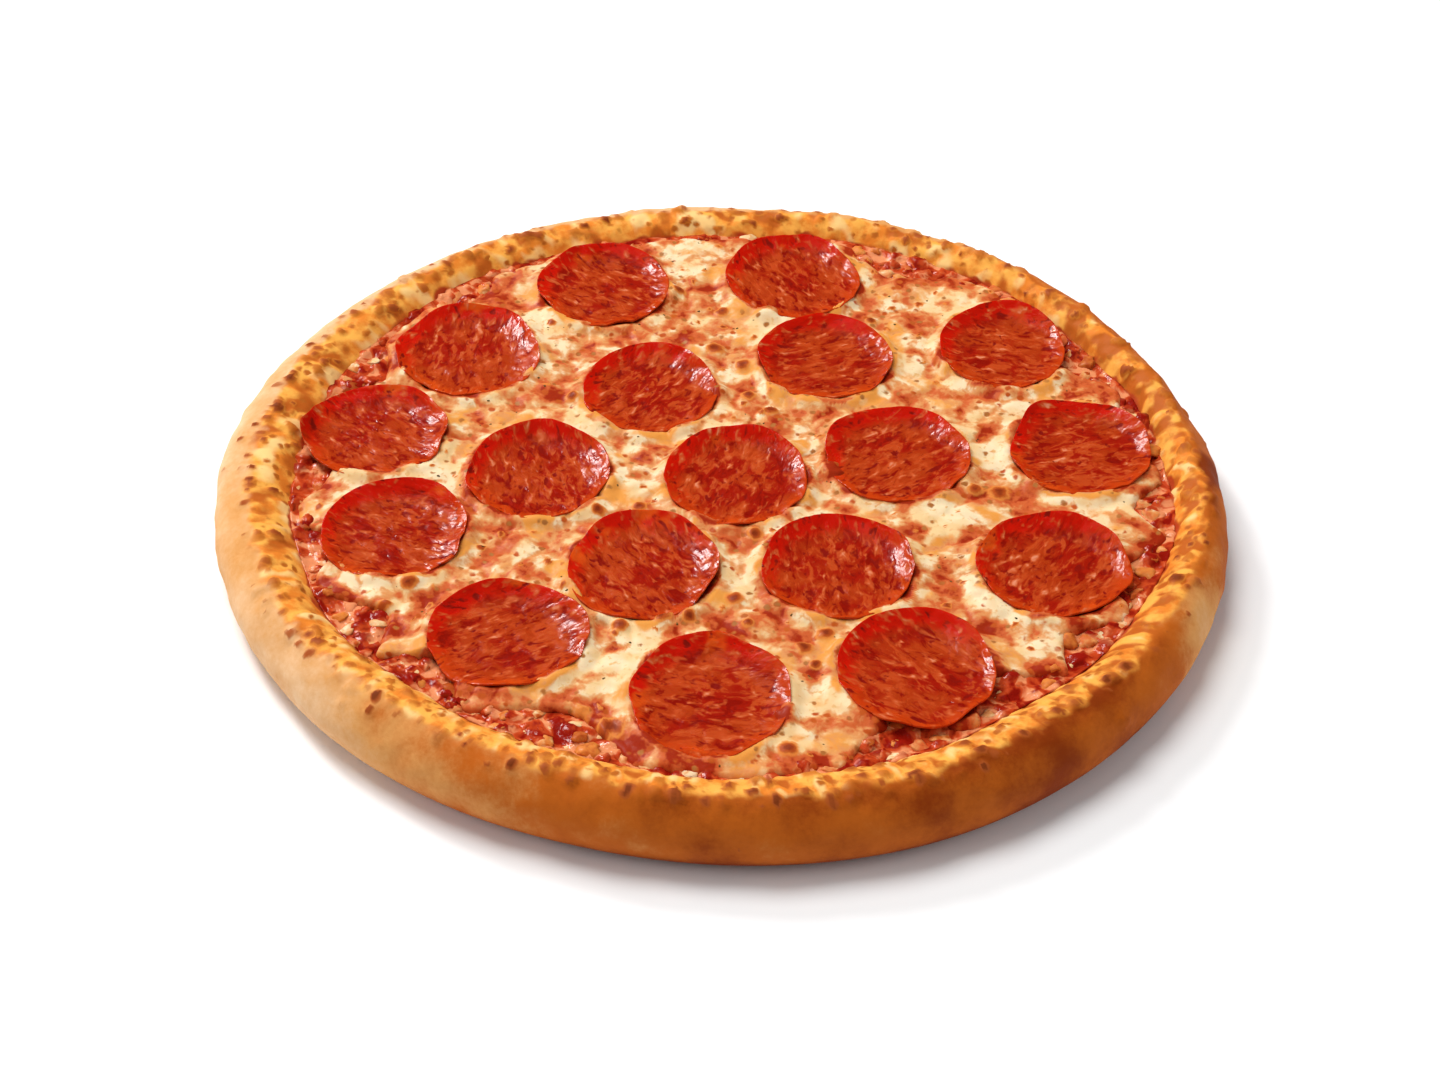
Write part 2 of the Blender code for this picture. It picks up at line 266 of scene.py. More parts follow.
def swellingTree():
    # raises bubbles or lumps on a surface where its attribute "band" is high, and marks them in "bubble"
    tree, given = newTree("risenBubbles", {
        "Spacing": "Float", "Density": "Float", "Smallest": "Float", "Largest": "Float", "Rise": "Float",
        "Seed": "Int", "Material": "Material",
    })
    band = addNode(tree, "GeometryNodeInputNamedAttribute", None, {0: "band"})[0]
    points = addNode(tree, "GeometryNodeDistributePointsOnFaces", {"distribute_method": "POISSON"}, {
        "Mesh": given["Geometry"], "Distance Min": given["Spacing"], "Density Max": given["Density"],
        "Density Factor": band, "Seed": given["Seed"],
    })[0]
    place = addNode(tree, "GeometryNodeInputPosition")[0]
    nearest = addNode(tree, "GeometryNodeSampleNearest", None, {0: points, 1: place})[0]
    size = addNode(tree, "FunctionNodeRandomValue", None, {
        2: given["Smallest"], 3: given["Largest"], "Seed": given["Seed"],
    })[1]
    depth = addNode(tree, "FunctionNodeRandomValue", None, {2: 0.35, 3: 1.0, "Seed": 77})[1]
    centre, itsSize, itsDepth = (
        addNode(tree, "GeometryNodeSampleIndex", {"data_type": kind}, {0: points, 1: value, 2: nearest})[0]
        for kind, value in (("FLOAT_VECTOR", place), ("FLOAT", size), ("FLOAT", depth))
    )
    away = addNode(tree, "ShaderNodeVectorMath", "DISTANCE", {0: place, 1: centre})[1]
    ragged = addNode(tree, "ShaderNodeTexNoise", None, {
        "Vector": place, "Scale": 430.0, "Detail": 3.0,
    })[0]
    ragged = addNode(tree, "ShaderNodeMapRange", None, {0: ragged, 1: 0.3, 2: 0.7, 3: 0.3, 4: 1.7})[0]
    reach = addNode(tree, "ShaderNodeMath", "MULTIPLY", {0: itsSize, 1: ragged})[0]
    share = addNode(tree, "ShaderNodeMath", "DIVIDE", {0: away, 1: reach})[0]
    dome = addNode(tree, "ShaderNodeMapRange", {"interpolation_type": "SMOOTHERSTEP"}, {
        0: share, 1: 1.0, 2: 0.2, 3: 0.0, 4: 1.0,
    })[0]
    shown = addNode(tree, "ShaderNodeMath", "MULTIPLY", {0: dome, 1: itsDepth})[0]
    stretch = addNode(tree, "ShaderNodeMath", "DIVIDE", {0: itsSize, 1: given["Largest"]})[0]
    lift = addNode(tree, "ShaderNodeMath", "MULTIPLY", {0: dome, 1: given["Rise"]})[0]
    lift = addNode(tree, "ShaderNodeMath", "MULTIPLY", {0: lift, 1: stretch})[0]
    outwards = addNode(tree, "GeometryNodeInputNormal")[0]
    shift = addNode(tree, "ShaderNodeVectorMath", "SCALE", {0: outwards, "Scale": lift})[0]
    marked = addNode(tree, "GeometryNodeStoreNamedAttribute", None, {
        0: given["Geometry"], "Name": "bubble", "Value": shown,
    })[0]
    raised = addNode(tree, "GeometryNodeSetPosition", None, {0: marked, "Offset": shift})[0]
    endTree(tree, raised, given["Material"])
    return tree


def sliceTree():
    # a thin round of sausage one unit in radius, its edge curled up, its face pitted by the coarse grind
    tree, given = newTree("curedSlice", {
        "Radius": "Float", "Thickness": "Float", "Curl": "Float", "Grind": "Float", "Relief": "Float",
        "Seed": "Float", "Material": "Material",
    })
    ball = addNode(tree, "GeometryNodeMeshUVSphere", None, {
        "Segments": 168, "Rings": 84, "Radius": 1.0,
    })[0]
    place = addNode(tree, "GeometryNodeInputPosition")[0]
    parts = addNode(tree, "ShaderNodeSeparateXYZ", None, {0: place})
    flat = addNode(tree, "ShaderNodeCombineXYZ", None, {0: parts[0], 1: parts[1]})[0]
    share = addNode(tree, "ShaderNodeVectorMath", "LENGTH", {0: flat})[1]
    side = addNode(tree, "ShaderNodeMath", "SIGN", {0: parts[2]})[0]
    height = addNode(tree, "ShaderNodeMath", "ABSOLUTE", {0: parts[2]})[0]
    blunt = addNode(tree, "ShaderNodeMath", "POWER", {0: height, 1: 0.35})[0]
    blunt = addNode(tree, "ShaderNodeMath", "MULTIPLY", {0: blunt, 1: side})[0]
    half = addNode(tree, "ShaderNodeMath", "MULTIPLY", {0: given["Thickness"], 1: 0.5})[0]
    wall = addNode(tree, "ShaderNodeMath", "MULTIPLY_ADD", {0: blunt, 1: half, 2: half})[0]
    outer = addNode(tree, "ShaderNodeMapRange", None, {0: share, 1: 0.55, 2: 1.0, 3: 0.0, 4: 1.0})[0]
    steep = addNode(tree, "ShaderNodeMath", "POWER", {0: outer, 1: 2.0})[0]
    curl = addNode(tree, "ShaderNodeMath", "MULTIPLY", {0: steep, 1: given["Curl"]})[0]
    fineness = addNode(tree, "ShaderNodeMath", "DIVIDE", {0: given["Radius"], 1: given["Grind"]})[0]
    ground = addNode(tree, "ShaderNodeTexNoise", {"noise_dimensions": "4D"}, {
        "Vector": flat, "W": given["Seed"], "Scale": fineness, "Detail": 3.0, "Roughness": 0.6,
        "Distortion": 0.8,
    })[0]
    rough = addNode(tree, "ShaderNodeMath", "SUBTRACT", {0: ground, 1: 0.5})[0]
    rough = addNode(tree, "ShaderNodeMath", "MULTIPLY", {0: rough, 1: given["Relief"]})[0]
    onTop = addNode(tree, "ShaderNodeMath", "GREATER_THAN", {0: side, 1: 0.0})[0]
    rough = addNode(tree, "ShaderNodeMath", "MULTIPLY", {0: rough, 1: onTop})[0]
    raised = addNode(tree, "ShaderNodeMath", "ADD", {0: wall, 1: curl})[0]
    raised = addNode(tree, "ShaderNodeMath", "ADD", {0: raised, 1: rough})[0]
    wide = addNode(tree, "ShaderNodeVectorMath", "SCALE", {0: flat, "Scale": given["Radius"]})[0]
    spot = addNode(tree, "ShaderNodeSeparateXYZ", None, {0: wide})
    shaped = addNode(tree, "ShaderNodeCombineXYZ", None, {0: spot[0], 1: spot[1], 2: raised})[0]
    marked = addNode(tree, "GeometryNodeStoreNamedAttribute", None, {
        0: ball, "Name": "fromMiddle", "Value": share,
    })[0]
    # the meat's own coordinates, turned at random and drawn out, so that its streaks lie along the cut
    turned = addNode(tree, "ShaderNodeVectorRotate", {"rotation_type": "Z_AXIS"}, {
        "Vector": shaped, "Angle": given["Seed"],
    })[0]
    drawn = addNode(tree, "ShaderNodeVectorMath", "MULTIPLY", {0: turned, 1: (0.6, 1.1, 1.0)})[0]
    apart = addNode(tree, "ShaderNodeCombineXYZ", None, {2: given["Seed"]})[0]
    drawn = addNode(tree, "ShaderNodeVectorMath", "ADD", {0: drawn, 1: apart})[0]
    marked = addNode(tree, "GeometryNodeStoreNamedAttribute", {"data_type": "FLOAT_VECTOR"}, {
        0: marked, "Name": "grainPlace", "Value": drawn,
    })[0]
    # painted shade: the deepest hollows of the pitted face are marked, to be coloured darker
    grindPitShadeMask = addNode(tree, "ShaderNodeMapRange", None, {0: ground, 1: 0.46, 2: 0.3, 3: 0.0, 4: 1.0})[0]
    marked = addNode(tree, "GeometryNodeStoreNamedAttribute", None, {
        0: marked, "Name": "grindPitShade", "Value": grindPitShadeMask,
    })[0]
    marked = addNode(tree, "GeometryNodeSetPosition", None, {0: marked, "Position": shaped})[0]
    shaded = addNode(tree, "GeometryNodeSetShadeSmooth", None, {0: marked})[0]
    endTree(tree, shaded, given["Material"])
    return tree


def speckTree():
    # small pieces laid flat on a surface where its attribute "band" is high, turned and sized at random
    tree, given = newTree("scatteredBits", {
        "Density": "Float", "Length": "Float", "Width": "Float", "Height": "Float", "Sink": "Float",
        "Fineness": "Int", "Seed": "Int", "Material": "Material",
    })
    band = addNode(tree, "GeometryNodeInputNamedAttribute", None, {0: "band"})[0]
    apart = addNode(tree, "ShaderNodeMath", "MULTIPLY", {0: given["Length"], 1: 0.75})[0]
    scatter = addNode(tree, "GeometryNodeDistributePointsOnFaces", {"distribute_method": "POISSON"}, {
        "Mesh": given["Geometry"], "Distance Min": apart, "Density Max": given["Density"],
        "Density Factor": band, "Seed": given["Seed"],
    })
    bit = addNode(tree, "GeometryNodeMeshIcoSphere", None, {
        "Radius": 0.5, "Subdivisions": given["Fineness"],
    })[0]
    lumpy = addNode(tree, "ShaderNodeTexNoise", None, {"Scale": 1.7, "Detail": 1.0})[1]
    lumpy = addNode(tree, "ShaderNodeVectorMath", "SUBTRACT", {0: lumpy, 1: (0.5, 0.5, 0.5)})[0]
    lumpy = addNode(tree, "ShaderNodeVectorMath", "SCALE", {0: lumpy, "Scale": 0.7})[0]
    bit = addNode(tree, "GeometryNodeSetPosition", None, {0: bit, "Offset": lumpy})[0]
    bit = addNode(tree, "GeometryNodeSetShadeSmooth", None, {0: bit})[0]
    size = addNode(tree, "ShaderNodeCombineXYZ", None, {
        0: given["Length"], 1: given["Width"], 2: given["Height"],
    })[0]
    vary = addNode(tree, "FunctionNodeRandomValue", None, {2: 0.45, 3: 1.0, "Seed": 5})[1]
    size = addNode(tree, "ShaderNodeVectorMath", "SCALE", {0: size, "Scale": vary})[0]
    turn = addNode(tree, "FunctionNodeRandomValue", None, {2: 0.0, 3: math.tau, "Seed": 9})[1]
    spin = addNode(tree, "ShaderNodeCombineXYZ", None, {2: turn})[0]
    laid = addNode(tree, "FunctionNodeRotateRotation", {"rotation_space": "LOCAL"}, {
        0: scatter["Rotation"], 1: spin,
    })[0]
    copies = addNode(tree, "GeometryNodeInstanceOnPoints", None, {
        "Points": scatter["Points"], "Instance": bit, "Rotation": laid, "Scale": size,
    })[0]
    reddened = addNode(tree, "FunctionNodeRandomValue", None, {2: 0.12, 3: 0.82, "Seed": 13})[1]
    copies = addNode(tree, "GeometryNodeStoreNamedAttribute", {"domain": "INSTANCE"}, {
        0: copies, "Name": "stain", "Value": reddened,
    })[0]
    down = addNode(tree, "ShaderNodeCombineXYZ", None, {2: given["Sink"]})[0]
    sunk = addNode(tree, "GeometryNodeTranslateInstances", None, {
        0: copies, "Translation": down, "Local Space": False,
    })[0]
    endTree(tree, sunk, given["Material"])
    return tree


# materials

def bakedDough():
    # hearth-baked wheat dough: a dry matt skin, pale towards the back left and browned towards the near
    # right, partly as painted light and shade, and browned on every blister
    material, tree, shader = newMaterial("bakedWheatDough", 1.45, 0.7, 0.16)
    place = addNode(tree, "ShaderNodeTexCoord")["Object"]
    toastAndShade, bubble, charred, cheesy, stain, ridgeShadeAndTone = (
        addNode(tree, "ShaderNodeAttribute", {"attribute_name": name})["Fac"]
        for name in ("toastAndShade", "bubble", "charred", "cheesy", "stain", "ridgeShadeAndTone")
    )
    bubble = addNode(tree, "ShaderNodeMath", "MAXIMUM", {0: bubble, 1: charred})[0]
    mottle = addNode(tree, "ShaderNodeTexNoise", None, {  # 7 mm
        "Vector": place, "Scale": 140.0, "Detail": 5.0, "Roughness": 0.6,
    })[0]
    flour = addNode(tree, "ShaderNodeTexNoise", None, {  # 1.6 mm
        "Vector": place, "Scale": 620.0, "Detail": 4.0, "Roughness": 0.65,
    })[0]
    bakedAndShaded = addNode(tree, "ShaderNodeMapRange", {"clamp": False}, {
        0: mottle, 1: 0.3, 2: 0.7, 3: -0.09, 4: 0.09,
    })[0]
    bakedAndShaded = addNode(tree, "ShaderNodeMath", "ADD", {0: bakedAndShaded, 1: toastAndShade})[0]
    speckle = addNode(tree, "ShaderNodeMapRange", {"clamp": False}, {
        0: flour, 1: 0.3, 2: 0.7, 3: -0.05, 4: 0.05,
    })[0]
    bakedAndShaded = addNode(tree, "ShaderNodeMath", "ADD", {0: bakedAndShaded, 1: speckle})[0]
    # the dough's colour from pale to dark brown carries real browning and painted light and shade
    colour = layColour(tree, "#F2CCA2", "#DE9C58", bakedAndShaded, -0.15, 0.45)
    colour = layColour(tree, colour, "#C06018", bakedAndShaded, 0.35, 0.8)
    colour = layColour(tree, colour, "#8C3606", bakedAndShaded, 0.75, 1.25)
    film = addNode(tree, "ShaderNodeMath", "ADD", {0: cheesy, 1: speckle})[0]
    oily = layColour(tree, "#FBB24E", "#EA852C", mottle, 0.4, 0.62)
    # painted light and shade: the cheese film is lighter on the wrinkle tops and darker in their valleys,
    # with real patchy tone mixed in
    creaseShadeAndTone = addNode(tree, "ShaderNodeMath", "ADD", {0: ridgeShadeAndTone, 1: speckle})[0]
    oily = layColour(tree, oily, "#FDCE84", creaseShadeAndTone, 0.1, 0.6)
    oily = layColour(tree, oily, "#C0601C", creaseShadeAndTone, -0.1, -0.55)
    colour = layColour(tree, colour, oily, film, 0.15, 0.85)
    # scorched flecks, the finest of the blisters
    shaken = addNode(tree, "ShaderNodeTexNoise", None, {"Vector": place, "Scale": 420.0})[1]
    shaken = addNode(tree, "ShaderNodeMix", {"data_type": "VECTOR"}, {0: 0.002, 4: place, 5: shaken})[1]
    fleck = addNode(tree, "ShaderNodeTexVoronoi", None, {"Vector": shaken, "Scale": 270.0})  # 3.7 mm
    chance = addNode(tree, "ShaderNodeSeparateColor", None, {0: fleck["Color"]})[0]
    chance = addNode(tree, "ShaderNodeMapRange", smooth, {0: chance, 1: 0.45, 2: 0.6})[0]
    chance = addNode(tree, "ShaderNodeMath", "MULTIPLY", {0: chance, 1: cheesy})[0]
    fleck = addNode(tree, "ShaderNodeMapRange", smooth, {0: fleck["Distance"], 1: 0.46, 2: 0.16})[0]
    fleck = addNode(tree, "ShaderNodeMath", "MULTIPLY", {0: fleck, 1: chance})[0]
    colour = layColour(tree, colour, "#B8621E", fleck)
    haloed = addNode(tree, "ShaderNodeMapRange", smooth, {0: bubble, 1: 0.04, 2: 0.42})[0]
    haloed = addNode(tree, "ShaderNodeMath", "MULTIPLY", {0: haloed, 1: cheesy})[0]
    colour = layColour(tree, colour, "#CE7628", haloed)
    colour = layColour(tree, colour, "#A85020", bubble, 0.4, 0.85)
    colour = layColour(tree, colour, "#7A3410", bubble, 0.78, 1.05)
    colour = layColour(tree, colour, "#B4401C", stain, 0.3, 0.9)
    tree.links.new(colour, shader.inputs["Base Color"])
    rough = addNode(tree, "ShaderNodeMapRange", None, {0: cheesy, 3: 0.72, 4: 0.5})[0]
    tree.links.new(rough, shader.inputs["Roughness"])
    skin = addNode(tree, "ShaderNodeTexNoise", None, {
        "Vector": place, "Scale": 1100.0, "Detail": 5.0, "Roughness": 0.7,
    })[0]
    bump = addNode(tree, "ShaderNodeBump", None, {
        "Strength": 0.35, "Distance": 0.0004, "Height": skin,
    })[0]
    tree.links.new(bump, shader.inputs["Normal"])
    return material


def meltedCheese():
    # low-moisture mozzarella: cream and slightly clear, orange where fat has split, red where sauce shows
    material, tree, shader = newMaterial("meltedMozzarella", 1.44, 0.34, 0.2)
    shader.inputs["Subsurface Weight"].default_value = 0.1
    shader.inputs["Subsurface Radius"].default_value = (1.0, 0.5, 0.25)
    shader.inputs["Subsurface Scale"].default_value = 0.0015
    place = addNode(tree, "ShaderNodeTexCoord")["Object"]
    stain, oil, bubble, browned, sheet = (
        addNode(tree, "ShaderNodeAttribute", {"attribute_name": name})["Fac"]
        for name in ("stain", "oil", "bubble", "browned", "sheet")  # the sheet is 1 but for loose crumbs
    )
    mottle = addNode(tree, "ShaderNodeTexNoise", None, {  # 5 mm
        "Vector": place, "Scale": 200.0, "Detail": 3.0, "Roughness": 0.5, "Distortion": 0.4,
    })[0]
    curd = addNode(tree, "ShaderNodeTexNoise", None, {  # 1.9 mm
        "Vector": place, "Scale": 520.0, "Detail": 2.0, "Roughness": 0.5, "Distortion": 0.3,
    })[0]
    broad = addNode(tree, "ShaderNodeTexNoise", None, {  # 9 mm
        "Vector": place, "Scale": 110.0, "Detail": 2.0,
    })[0]
    colour = layColour(tree, "#F2DAB0", "#ECC68E", broad, 0.38, 0.62)
    colour = layColour(tree, colour, "#E2B274", curd, 0.56, 0.74)
    greased = addNode(tree, "ShaderNodeMath", "ADD", {0: mottle, 1: oil})[0]
    colour = layColour(tree, colour, "#E69844", greased, 0.55, 0.95)
    wander = addNode(tree, "ShaderNodeMapRange", {"clamp": False}, {
        0: mottle, 1: 0.3, 2: 0.7, 3: -0.34, 4: 0.34,
    })[0]
    fleck = addNode(tree, "ShaderNodeMapRange", {"clamp": False}, {
        0: curd, 1: 0.3, 2: 0.7, 3: -0.1, 4: 0.1,
    })[0]
    bled = addNode(tree, "ShaderNodeMath", "ADD", {0: stain, 1: wander})[0]
    bled = addNode(tree, "ShaderNodeMath", "ADD", {0: bled, 1: fleck})[0]
    colour = layColour(tree, colour, "#DC9458", bled, 0.12, 0.48)
    colour = layColour(tree, colour, "#CC6030", bled, 0.42, 0.78)
    colour = layColour(tree, colour, "#A02A0C", bled, 0.78, 1.1)
    # small clots of sauce that have come up through the cheese
    shaken = addNode(tree, "ShaderNodeTexNoise", None, {"Vector": place, "Scale": 500.0})[1]
    shaken = addNode(tree, "ShaderNodeMix", {"data_type": "VECTOR"}, {0: 0.0015, 4: place, 5: shaken})[1]
    clot = addNode(tree, "ShaderNodeTexVoronoi", None, {"Vector": shaken, "Scale": 300.0})  # 3.3 mm
    chance = addNode(tree, "ShaderNodeSeparateColor", None, {0: clot["Color"]})[0]
    chance = addNode(tree, "ShaderNodeMath", "SUBTRACT", {0: stain, 1: chance})[0]
    chance = addNode(tree, "ShaderNodeMapRange", smooth, {0: chance, 1: -0.05, 2: 0.1})[0]
    spot = addNode(tree, "ShaderNodeMapRange", smooth, {0: clot["Distance"], 1: 0.42, 2: 0.2})[0]
    spot = addNode(tree, "ShaderNodeMath", "MULTIPLY", {0: spot, 1: chance})[0]
    colour = layColour(tree, colour, layColour(tree, "#AE3810", "#C86626", mottle), spot)
    # painted shade of small pits: brown dots in the sheet of cheese
    chance = addNode(tree, "ShaderNodeSeparateColor", None, {0: clot["Color"]})[1]
    chance = addNode(tree, "ShaderNodeMapRange", smooth, {0: chance, 1: 0.72, 2: 0.8})[0]
    paintedPitShade = addNode(tree, "ShaderNodeMapRange", smooth, {0: clot["Distance"], 1: 0.36, 2: 0.16})[0]
    paintedPitShade = addNode(tree, "ShaderNodeMath", "MULTIPLY", {0: paintedPitShade, 1: chance})[0]
    paintedPitShade = addNode(tree, "ShaderNodeMath", "MULTIPLY", {0: paintedPitShade, 1: sheet})[0]
    colour = layColour(tree, colour, layColour(tree, "#8E5426", "#C47E40", mottle), paintedPitShade)
    toasted = addNode(tree, "ShaderNodeMath", "MAXIMUM", {0: bubble, 1: browned})[0]
    toasted = addNode(tree, "ShaderNodeMath", "MULTIPLY_ADD", {0: fleck, 1: 0.8, 2: toasted})[0]
    colour = layColour(tree, colour, "#DE843A", toasted, 0.15, 0.45)
    colour = layColour(tree, colour, "#B04C1A", toasted, 0.4, 0.7)
    colour = layColour(tree, colour, "#863010", toasted, 0.7, 1.02)
    tree.links.new(colour, shader.inputs["Base Color"])
    rough = addNode(tree, "ShaderNodeMapRange", None, {0: curd, 1: 0.3, 2: 0.7, 3: 0.34, 4: 0.5})[0]
    tree.links.new(rough, shader.inputs["Roughness"])
    bump = addNode(tree, "ShaderNodeBump", None, {"Strength": 0.3, "Distance": 0.0005, "Height": curd})[0]
    tree.links.new(bump, shader.inputs["Normal"])
    return material


def tomatoSauce():
    # cooked tomato: dark wet red with pulp in it, which gives small hard glints
    material, tree, shader = newMaterial("cookedTomatoSauce", 1.38, 0.2, 0.4)
    place = addNode(tree, "ShaderNodeTexCoord")["Object"]
    bubble = addNode(tree, "ShaderNodeAttribute", {"attribute_name": "bubble"})["Fac"]
    pulp = addNode(tree, "ShaderNodeTexNoise", None, {  # 6.7 mm
        "Vector": place, "Scale": 150.0, "Detail": 3.0, "Roughness": 0.5, "Distortion": 0.8,
    })[0]
    fine = addNode(tree, "ShaderNodeTexNoise", None, {  # 1.2 mm
        "Vector": place, "Scale": 800.0, "Detail": 3.0,
    })[0]
    colour = layColour(tree, "#8E1408", "#C4461E", pulp, 0.36, 0.5)
    colour = layColour(tree, colour, "#E69060", pulp, 0.49, 0.6)
    colour = layColour(tree, colour, "#96180C", bubble, 0.35, 0.9)
    tree.links.new(colour, shader.inputs["Base Color"])
    bump = addNode(tree, "ShaderNodeBump", None, {"Strength": 0.4, "Distance": 0.0005, "Height": fine})[0]
    tree.links.new(bump, shader.inputs["Normal"])
    return material


def curedSausage():
    # fermented pork and beef sausage: brick red meat with paler fat in it, and an oily face that shines
    material, tree, shader = newMaterial("curedPepperoni", 1.45, 0.22, 0.34)
    shader.inputs["Subsurface Weight"].default_value = 0.1
    shader.inputs["Subsurface Radius"].default_value = (1.0, 0.25, 0.1)
    shader.inputs["Subsurface Scale"].default_value = 0.0012
    grain = addNode(tree, "ShaderNodeAttribute", {"attribute_name": "grainPlace"})["Vector"]
    place = addNode(tree, "ShaderNodeTexCoord")["Object"]
    rim, grindPitShade, lipLightShade = (
        addNode(tree, "ShaderNodeAttribute", {"attribute_name": name})["Fac"]
        for name in ("fromMiddle", "grindPitShade", "lipLightShade")
    )
    grind = addNode(tree, "ShaderNodeTexNoise", None, {  # 3.8 mm
        "Vector": grain, "Scale": 260.0, "Detail": 4.0, "Roughness": 0.6, "Distortion": 0.9,
    })[0]
    fat = addNode(tree, "ShaderNodeTexNoise", None, {  # 2.5 mm
        "Vector": grain, "Scale": 400.0, "Detail": 2.0, "Roughness": 0.5, "Distortion": 0.35,
    })[0]
    wide = addNode(tree, "ShaderNodeTexNoise", None, {  # 12 mm
        "Vector": place, "Scale": 85.0, "Detail": 3.0,
    })[0]
    colour = layColour(tree, "#9E1806", "#AC360E", wide, 0.4, 0.6)
    colour = layColour(tree, colour, "#BC4418", grind, 0.5, 0.62)
    colour = layColour(tree, colour, "#8A1206", grind, 0.46, 0.36)
    # painted light and shade: the lip is coloured by its direction, bright red at the back where it stands
    # up and orange at the front, as light falls on the curled edge
    outwards = addNode(tree, "ShaderNodeMath", "MULTIPLY_ADD", {0: grind, 1: 0.5, 2: rim})[0]
    outwards = addNode(tree, "ShaderNodeMath", "MULTIPLY_ADD", {0: lipLightShade, 1: 0.1, 2: outwards})[0]
    fatAndLipLight = addNode(tree, "ShaderNodeMath", "ADD", {0: fat, 1: lipLightShade})[0]
    edgeColour = layColour(tree, "#C23C0A", "#C61402", fatAndLipLight, 0.3, 0.85)
    edgeColour = layColour(tree, edgeColour, "#D24A10", wide, 0.58, 0.7)
    colour = layColour(tree, colour, edgeColour, outwards, 0.97, 1.2)
    colour = layColour(tree, colour, "#C85628", fat, 0.54, 0.72)
    colour = layColour(tree, colour, "#DE8864", fat, 0.66, 0.8)
    colour = layColour(tree, colour, "#84140A", fat, 0.4, 0.28)
    # painted shade: darker red in the pits of the grind
    colour = layColour(tree, colour, "#82140A", grindPitShade, 0.4, 0.9)
    tree.links.new(colour, shader.inputs["Base Color"])
    rough = addNode(tree, "ShaderNodeMapRange", None, {0: grind, 1: 0.3, 2: 0.7, 3: 0.17, 4: 0.28})[0]
    tree.links.new(rough, shader.inputs["Roughness"])
    bump = addNode(tree, "ShaderNodeBump", None, {"Strength": 0.6, "Distance": 0.0006, "Height": fat})[0]
    tree.links.new(bump, shader.inputs["Normal"])
    return material


def driedHerb():
    # ground pepper and dried herb: dull dark flecks
    material, tree, shader = newMaterial("groundPepperAndHerb", 1.5, 0.7, 0.3)
    place = addNode(tree, "ShaderNodeTexCoord")["Object"]
    shade = addNode(tree, "ShaderNodeTexNoise", None, {"Vector": place, "Scale": 300.0})[0]
    colour = layColour(tree, "#4A3A1C", "#80602C", shade, 0.35, 0.65)
    tree.links.new(colour, shader.inputs["Base Color"])
    return material


risenBubbles = swellingTree()
curedSlice = sliceTree()
scatteredBits = speckTree()
doughMaterial = bakedDough()
cheeseMaterial = meltedCheese()
sauceMaterial = tomatoSauce()
sausageMaterial = curedSausage()
herbMaterial = driedHerb()
print("geometry trees and materials made")


# pepperoni: where each slice lies

pepperoniPlan = {
    "places": (  # x, y, width along X, width along Y
        (-40.0, 101.0, 43.5, 43.5), (22.4, 107.0, 44.0, 44.0), (-82.3, 63.8, 45.5, 47.0),
        (-23.3, 44.1, 42.5, 43.5), (32.5, 62.0, 43.0, 42.5), (89.8, 69.0, 41.0, 43.5),
        (-108.0, 21.3, 44.5, 42.0), (-56.1, 2.4, 44.0, 44.5), (4.4, 1.1, 43.6, 45.0),
        (53.7, 12.4, 45.5, 45.0), (110.5, 17.0, 44.0, 45.0), (-97.3, -26.5, 43.5, 43.5),
        (-23.0, -42.2, 45.0, 46.0), (34.3, -41.1, 46.5, 44.0), (97.5, -40.0, 45.5, 45.0),
        (-61.0, -72.3, 46.0, 43.5), (-3.3, -97.5, 45.5, 48.5), (55.5, -85.9, 46.5, 46.5),
    ),
    "underside": 14.0, "radius": 20.0, "thickness": 1.7, "curl": 2.5, "backCurl": 1.4, "grind": 3.6,
    "relief": 0.9, "clearance": 0.7, "uneven": 0.09, "lipLightTurn": 30.0,
}


def sliceShare(x, y):
    # how far a place is from the middle of the nearest slice, as a share of that slice's radius
    nearest = np.full(np.shape(x), 9.0)
    for centreX, centreY, width, length in pepperoniPlan["places"]:
        nearest = np.minimum(nearest, np.hypot((x - centreX) / width * 2, (y - centreY) / length * 2))
    return nearest


# crust

crustLook = {
    "steps": 860, "spacing": 0.85, "swell": 0.8, "wrinkle": 0.8, "paleLitSide": 142.0,
    "blisters": {"spacing": 3.6, "density": 60000.0, "sizes": (1.1, 3.6), "rise": 1.1, "seed": 4},
    "crestSpots": 110, "crestPlace": 9.6, "crestReach": 1.8, "crestRise": 0.5,
    # where the wall is paler or browner: degrees from +X, half width in degrees, change
    "browning": ((-24, 15, -0.3), (-50, 26, 0.26), (192, 14, 0.1), (220, 19, -0.2), (265, 26, 0.09)),
    # painted light: the top of the wall at the near right is made paler, where light falls on it
    "upperPaintedLight": (-36, 42, -0.16),  # the same for the top of the wall at the near right
    "scorch": {"angle": 2.0, "radius": 148.0, "reach": 6.0, "change": 0.8},
}


